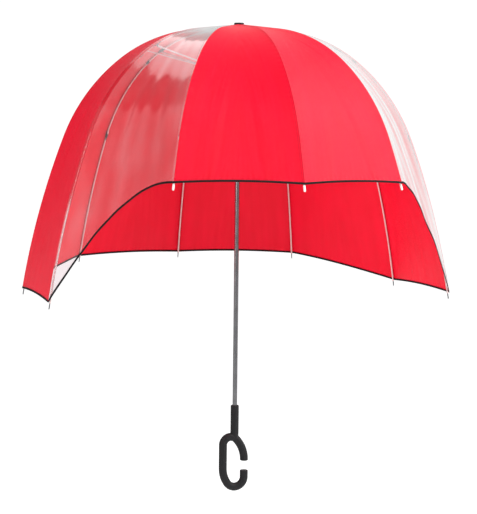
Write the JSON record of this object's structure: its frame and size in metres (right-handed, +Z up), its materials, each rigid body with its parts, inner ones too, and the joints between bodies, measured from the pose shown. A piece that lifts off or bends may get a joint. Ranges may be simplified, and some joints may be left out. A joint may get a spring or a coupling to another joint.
{
  "type": "dome umbrella",
  "caption": "Deep dome stick umbrella with a raised front hem, red cloth panels, clear side windows, folding ribs and a C-shaped grip.",
  "frame": {"origin": "on the shaft axis at the middle of the handle sleeve's round wall", "axes": "+Z up the shaft to the top cap, -Y to the front where the hem is raised, +X to the side on which the C grip opens"},
  "size_m": [0.8736, 0.8528, 1.006],
  "materials": {
    "red_fabric": "woven polyester pongee, slightly glossy",
    "clear_film": "clear flexible PVC film, lightly wrinkled",
    "hem_tape": "black woven binding tape",
    "fibreglass": "white fibreglass rod",
    "stretcher_metal": "pale coated steel",
    "shaft_metal": "grey steel tube",
    "spring_steel": "bright spring steel",
    "black_plastic": "black moulded nylon",
    "soft_black": "matte soft-touch black"
  },
  "bodies": {
    "frame": {"shaft": "shaft_metal", "top_notch": "black_plastic", "notch_wire": "spring_steel", "top_cap": "black_plastic", "stop_pin": "spring_steel", "handle_sleeve": "soft_black", "c_grip": "soft_black", "hem_binding": "hem_tape", "red_panel_01": "red_fabric", "clear_panel_02": "clear_film", "red_panel_03": "red_fabric", "red_panel_04": "red_fabric", "red_panel_05": "red_fabric", "red_panel_06": "red_fabric", "red_panel_07": "red_fabric", "red_panel_08": "red_fabric", "clear_panel_09": "clear_film", "red_panel_10": "red_fabric"},
    "rib_01_upper": {"rib_01_upper": "fibreglass"},
    "rib_02_upper": {"rib_02_upper": "fibreglass"},
    "rib_03_upper": {"rib_03_upper": "fibreglass"},
    "rib_04_upper": {"rib_04_upper": "fibreglass"},
    "rib_05_upper": {"rib_05_upper": "fibreglass"},
    "rib_06_upper": {"rib_06_upper": "fibreglass"},
    "rib_07_upper": {"rib_07_upper": "fibreglass"},
    "rib_08_upper": {"rib_08_upper": "fibreglass"},
    "rib_09_upper": {"rib_09_upper": "fibreglass"},
    "rib_10_upper": {"rib_10_upper": "fibreglass"},
    "stretcher_01": {"stretcher_01": "stretcher_metal"},
    "stretcher_02": {"stretcher_02": "stretcher_metal"},
    "stretcher_03": {"stretcher_03": "stretcher_metal"},
    "stretcher_04": {"stretcher_04": "stretcher_metal"},
    "stretcher_05": {"stretcher_05": "stretcher_metal"},
    "stretcher_06": {"stretcher_06": "stretcher_metal"},
    "stretcher_07": {"stretcher_07": "stretcher_metal"},
    "stretcher_08": {"stretcher_08": "stretcher_metal"},
    "stretcher_09": {"stretcher_09": "stretcher_metal"},
    "stretcher_10": {"stretcher_10": "stretcher_metal"},
    "rib_01_lower": {"rib_01_lower": "fibreglass"},
    "rib_02_lower": {"rib_02_lower": "fibreglass"},
    "rib_03_middle": {"rib_03_middle": "fibreglass"},
    "rib_03_lower": {"rib_03_lower": "fibreglass"},
    "rib_04_middle": {"rib_04_middle": "fibreglass"},
    "rib_04_lower": {"rib_04_lower": "fibreglass"},
    "rib_05_middle": {"rib_05_middle": "fibreglass"},
    "rib_05_lower": {"rib_05_lower": "fibreglass"},
    "rib_06_middle": {"rib_06_middle": "fibreglass"},
    "rib_06_lower": {"rib_06_lower": "fibreglass", "tie_strap": "red_fabric"},
    "rib_07_middle": {"rib_07_middle": "fibreglass"},
    "rib_07_lower": {"rib_07_lower": "fibreglass"},
    "rib_08_middle": {"rib_08_middle": "fibreglass"},
    "rib_08_lower": {"rib_08_lower": "fibreglass"},
    "rib_09_middle": {"rib_09_middle": "fibreglass"},
    "rib_09_lower": {"rib_09_lower": "fibreglass"},
    "rib_10_lower": {"rib_10_lower": "fibreglass"},
    "runner": {"runner": "black_plastic", "runner_wire": "spring_steel"},
    "top_catch": {"top_catch": "spring_steel"},
    "bottom_catch": {"bottom_catch": "spring_steel"}
  },
  "joints": [
    {"name": "rib_01_fold", "type": "hinge", "parent": "frame", "child": "rib_01_upper", "pos_m": [0, -0.01, 0.8415], "axis": [1, 0, 0], "range_deg": [0, 66], "deforming": ["hem_binding", "red_panel_01", "clear_panel_02", "red_panel_03", "red_panel_04", "red_panel_05", "red_panel_06", "red_panel_07", "red_panel_08", "clear_panel_09", "red_panel_10"]},
    {"name": "rib_02_fold", "type": "hinge", "parent": "frame", "child": "rib_02_upper", "pos_m": [0.00588, -0.00809, 0.8415], "axis": [0.809, 0.5878, 0], "range_deg": [0, 66]},
    {"name": "rib_03_fold", "type": "hinge", "parent": "frame", "child": "rib_03_upper", "pos_m": [0.00951, -0.00309, 0.8415], "axis": [0.309, 0.9511, 0], "range_deg": [0, 66]},
    {"name": "rib_04_fold", "type": "hinge", "parent": "frame", "child": "rib_04_upper", "pos_m": [0.00951, 0.00309, 0.8415], "axis": [-0.309, 0.9511, 0], "range_deg": [0, 66]},
    {"name": "rib_05_fold", "type": "hinge", "parent": "frame", "child": "rib_05_upper", "pos_m": [0.00588, 0.00809, 0.8415], "axis": [-0.809, 0.5878, 0], "range_deg": [0, 66]},
    {"name": "rib_06_fold", "type": "hinge", "parent": "frame", "child": "rib_06_upper", "pos_m": [0, 0.01, 0.8415], "axis": [-1, 0, 0], "range_deg": [0, 66]},
    {"name": "rib_07_fold", "type": "hinge", "parent": "frame", "child": "rib_07_upper", "pos_m": [-0.00588, 0.00809, 0.8415], "axis": [-0.809, -0.5878, 0], "range_deg": [0, 66]},
    {"name": "rib_08_fold", "type": "hinge", "parent": "frame", "child": "rib_08_upper", "pos_m": [-0.00951, 0.00309, 0.8415], "axis": [-0.309, -0.9511, 0], "range_deg": [0, 66]},
    {"name": "rib_09_fold", "type": "hinge", "parent": "frame", "child": "rib_09_upper", "pos_m": [-0.00951, -0.00309, 0.8415], "axis": [0.309, -0.9511, 0], "range_deg": [0, 66]},
    {"name": "rib_10_fold", "type": "hinge", "parent": "frame", "child": "rib_10_upper", "pos_m": [-0.00588, -0.00809, 0.8415], "axis": [0.809, -0.5878, 0], "range_deg": [0, 66]},
    {"name": "stretcher_01_hinge", "type": "hinge", "parent": "rib_01_upper", "child": "stretcher_01", "pos_m": [0, -0.20442, 0.79113], "axis": [1, 0, 0], "range_deg": [-132, 0]},
    {"name": "stretcher_02_hinge", "type": "hinge", "parent": "rib_02_upper", "child": "stretcher_02", "pos_m": [0.12016, -0.16538, 0.79113], "axis": [0.809, 0.5878, 0], "range_deg": [-132, 0]},
    {"name": "stretcher_03_hinge", "type": "hinge", "parent": "rib_03_upper", "child": "stretcher_03", "pos_m": [0.19442, -0.06317, 0.79113], "axis": [0.309, 0.9511, 0], "range_deg": [-132, 0]},
    {"name": "stretcher_04_hinge", "type": "hinge", "parent": "rib_04_upper", "child": "stretcher_04", "pos_m": [0.19442, 0.06317, 0.79113], "axis": [-0.309, 0.9511, 0], "range_deg": [-132, 0]},
    {"name": "stretcher_05_hinge", "type": "hinge", "parent": "rib_05_upper", "child": "stretcher_05", "pos_m": [0.12016, 0.16538, 0.79113], "axis": [-0.809, 0.5878, 0], "range_deg": [-132, 0]},
    {"name": "stretcher_06_hinge", "type": "hinge", "parent": "rib_06_upper", "child": "stretcher_06", "pos_m": [0, 0.20442, 0.79113], "axis": [-1, 0, 0], "range_deg": [-132, 0]},
    {"name": "stretcher_07_hinge", "type": "hinge", "parent": "rib_07_upper", "child": "stretcher_07", "pos_m": [-0.12016, 0.16538, 0.79113], "axis": [-0.809, -0.5878, 0], "range_deg": [-132, 0]},
    {"name": "stretcher_08_hinge", "type": "hinge", "parent": "rib_08_upper", "child": "stretcher_08", "pos_m": [-0.19442, 0.06317, 0.79113], "axis": [-0.309, -0.9511, 0], "range_deg": [-132, 0]},
    {"name": "stretcher_09_hinge", "type": "hinge", "parent": "rib_09_upper", "child": "stretcher_09", "pos_m": [-0.19442, -0.06317, 0.79113], "axis": [0.309, -0.9511, 0], "range_deg": [-132, 0]},
    {"name": "stretcher_10_hinge", "type": "hinge", "parent": "rib_10_upper", "child": "stretcher_10", "pos_m": [-0.12016, -0.16538, 0.79113], "axis": [0.809, -0.5878, 0], "range_deg": [-132, 0]},
    {"name": "rib_01_lower_knee", "type": "hinge", "parent": "rib_01_upper", "child": "rib_01_lower", "pos_m": [0, -0.25113, 0.76668], "axis": [1, 0, 0], "range_deg": [-33, 0]},
    {"name": "rib_02_lower_knee", "type": "hinge", "parent": "rib_02_upper", "child": "rib_02_lower", "pos_m": [0.14761, -0.20317, 0.76668], "axis": [0.809, 0.5878, 0], "range_deg": [-33, 0]},
    {"name": "rib_03_upper_knee", "type": "hinge", "parent": "rib_03_upper", "child": "rib_03_middle", "pos_m": [0.23884, -0.0776, 0.76668], "axis": [0.309, 0.9511, 0], "range_deg": [-28, 0]},
    {"name": "rib_03_lower_knee", "type": "hinge", "parent": "rib_03_middle", "child": "rib_03_lower", "pos_m": [0.34859, -0.11326, 0.60609], "axis": [0.309, 0.9511, 0], "range_deg": [-25, 0]},
    {"name": "rib_04_upper_knee", "type": "hinge", "parent": "rib_04_upper", "child": "rib_04_middle", "pos_m": [0.23884, 0.0776, 0.76668], "axis": [-0.309, 0.9511, 0], "range_deg": [-28, 0]},
    {"name": "rib_04_lower_knee", "type": "hinge", "parent": "rib_04_middle", "child": "rib_04_lower", "pos_m": [0.34859, 0.11326, 0.60609], "axis": [-0.309, 0.9511, 0], "range_deg": [-25, 0]},
    {"name": "rib_05_upper_knee", "type": "hinge", "parent": "rib_05_upper", "child": "rib_05_middle", "pos_m": [0.14761, 0.20317, 0.76668], "axis": [-0.809, 0.5878, 0], "range_deg": [-28, 0]},
    {"name": "rib_05_lower_knee", "type": "hinge", "parent": "rib_05_middle", "child": "rib_05_lower", "pos_m": [0.21544, 0.29653, 0.60609], "axis": [-0.809, 0.5878, 0], "range_deg": [-25, 0]},
    {"name": "rib_06_upper_knee", "type": "hinge", "parent": "rib_06_upper", "child": "rib_06_middle", "pos_m": [0, 0.25113, 0.76668], "axis": [-1, 0, 0], "range_deg": [-28, 0]},
    {"name": "rib_06_lower_knee", "type": "hinge", "parent": "rib_06_middle", "child": "rib_06_lower", "pos_m": [0, 0.36653, 0.60609], "axis": [-1, 0, 0], "range_deg": [-25, 0]},
    {"name": "rib_07_upper_knee", "type": "hinge", "parent": "rib_07_upper", "child": "rib_07_middle", "pos_m": [-0.14761, 0.20317, 0.76668], "axis": [-0.809, -0.5878, 0], "range_deg": [-28, 0]},
    {"name": "rib_07_lower_knee", "type": "hinge", "parent": "rib_07_middle", "child": "rib_07_lower", "pos_m": [-0.21544, 0.29653, 0.60609], "axis": [-0.809, -0.5878, 0], "range_deg": [-25, 0]},
    {"name": "rib_08_upper_knee", "type": "hinge", "parent": "rib_08_upper", "child": "rib_08_middle", "pos_m": [-0.23884, 0.0776, 0.76668], "axis": [-0.309, -0.9511, 0], "range_deg": [-28, 0]},
    {"name": "rib_08_lower_knee", "type": "hinge", "parent": "rib_08_middle", "child": "rib_08_lower", "pos_m": [-0.34859, 0.11326, 0.60609], "axis": [-0.309, -0.9511, 0], "range_deg": [-25, 0]},
    {"name": "rib_09_upper_knee", "type": "hinge", "parent": "rib_09_upper", "child": "rib_09_middle", "pos_m": [-0.23884, -0.0776, 0.76668], "axis": [0.309, -0.9511, 0], "range_deg": [-28, 0]},
    {"name": "rib_09_lower_knee", "type": "hinge", "parent": "rib_09_middle", "child": "rib_09_lower", "pos_m": [-0.34859, -0.11326, 0.60609], "axis": [0.309, -0.9511, 0], "range_deg": [-25, 0]},
    {"name": "rib_10_lower_knee", "type": "hinge", "parent": "rib_10_upper", "child": "rib_10_lower", "pos_m": [-0.14761, -0.20317, 0.76668], "axis": [0.809, -0.5878, 0], "range_deg": [-33, 0]},
    {"name": "runner_pivot", "type": "hinge", "parent": "stretcher_01", "child": "runner", "pos_m": [0, -0.01, 0.74075], "axis": [1, 0, 0], "range_deg": [0, 66]},
    {"name": "top_catch_press", "type": "slide", "parent": "frame", "child": "top_catch", "axis": [0, -1, 0], "range_m": [0, 0.0022], "stiffness_N_per_m": 400, "springref_m": -0.002},
    {"name": "bottom_catch_press", "type": "slide", "parent": "frame", "child": "bottom_catch", "axis": [0, -1, 0], "range_m": [0, 0.0022], "stiffness_N_per_m": 400, "springref_m": -0.002}
  ],
  "couplings": [
    {"joint": "rib_02_fold", "follows": "rib_01_fold", "ratio": 1},
    {"joint": "rib_03_fold", "follows": "rib_01_fold", "ratio": 1},
    {"joint": "rib_04_fold", "follows": "rib_01_fold", "ratio": 1},
    {"joint": "rib_05_fold", "follows": "rib_01_fold", "ratio": 1},
    {"joint": "rib_06_fold", "follows": "rib_01_fold", "ratio": 1},
    {"joint": "rib_07_fold", "follows": "rib_01_fold", "ratio": 1},
    {"joint": "rib_08_fold", "follows": "rib_01_fold", "ratio": 1},
    {"joint": "rib_09_fold", "follows": "rib_01_fold", "ratio": 1},
    {"joint": "rib_10_fold", "follows": "rib_01_fold", "ratio": 1},
    {"joint": "stretcher_01_hinge", "follows": "rib_01_fold", "ratio": -2},
    {"joint": "stretcher_02_hinge", "follows": "rib_01_fold", "ratio": -2},
    {"joint": "stretcher_03_hinge", "follows": "rib_01_fold", "ratio": -2},
    {"joint": "stretcher_04_hinge", "follows": "rib_01_fold", "ratio": -2},
    {"joint": "stretcher_05_hinge", "follows": "rib_01_fold", "ratio": -2},
    {"joint": "stretcher_06_hinge", "follows": "rib_01_fold", "ratio": -2},
    {"joint": "stretcher_07_hinge", "follows": "rib_01_fold", "ratio": -2},
    {"joint": "stretcher_08_hinge", "follows": "rib_01_fold", "ratio": -2},
    {"joint": "stretcher_09_hinge", "follows": "rib_01_fold", "ratio": -2},
    {"joint": "stretcher_10_hinge", "follows": "rib_01_fold", "ratio": -2},
    {"joint": "rib_01_lower_knee", "follows": "rib_01_fold", "ratio": -0.5},
    {"joint": "rib_02_lower_knee", "follows": "rib_01_fold", "ratio": -0.5},
    {"joint": "rib_03_upper_knee", "follows": "rib_01_fold", "ratio": -0.42424},
    {"joint": "rib_03_lower_knee", "follows": "rib_01_fold", "ratio": -0.37879},
    {"joint": "rib_04_upper_knee", "follows": "rib_01_fold", "ratio": -0.42424},
    {"joint": "rib_04_lower_knee", "follows": "rib_01_fold", "ratio": -0.37879},
    {"joint": "rib_05_upper_knee", "follows": "rib_01_fold", "ratio": -0.42424},
    {"joint": "rib_05_lower_knee", "follows": "rib_01_fold", "ratio": -0.37879},
    {"joint": "rib_06_upper_knee", "follows": "rib_01_fold", "ratio": -0.42424},
    {"joint": "rib_06_lower_knee", "follows": "rib_01_fold", "ratio": -0.37879},
    {"joint": "rib_07_upper_knee", "follows": "rib_01_fold", "ratio": -0.42424},
    {"joint": "rib_07_lower_knee", "follows": "rib_01_fold", "ratio": -0.37879},
    {"joint": "rib_08_upper_knee", "follows": "rib_01_fold", "ratio": -0.42424},
    {"joint": "rib_08_lower_knee", "follows": "rib_01_fold", "ratio": -0.37879},
    {"joint": "rib_09_upper_knee", "follows": "rib_01_fold", "ratio": -0.42424},
    {"joint": "rib_09_lower_knee", "follows": "rib_01_fold", "ratio": -0.37879},
    {"joint": "rib_10_lower_knee", "follows": "rib_01_fold", "ratio": -0.5},
    {"joint": "runner_pivot", "follows": "rib_01_fold", "ratio": 1}
  ]
}
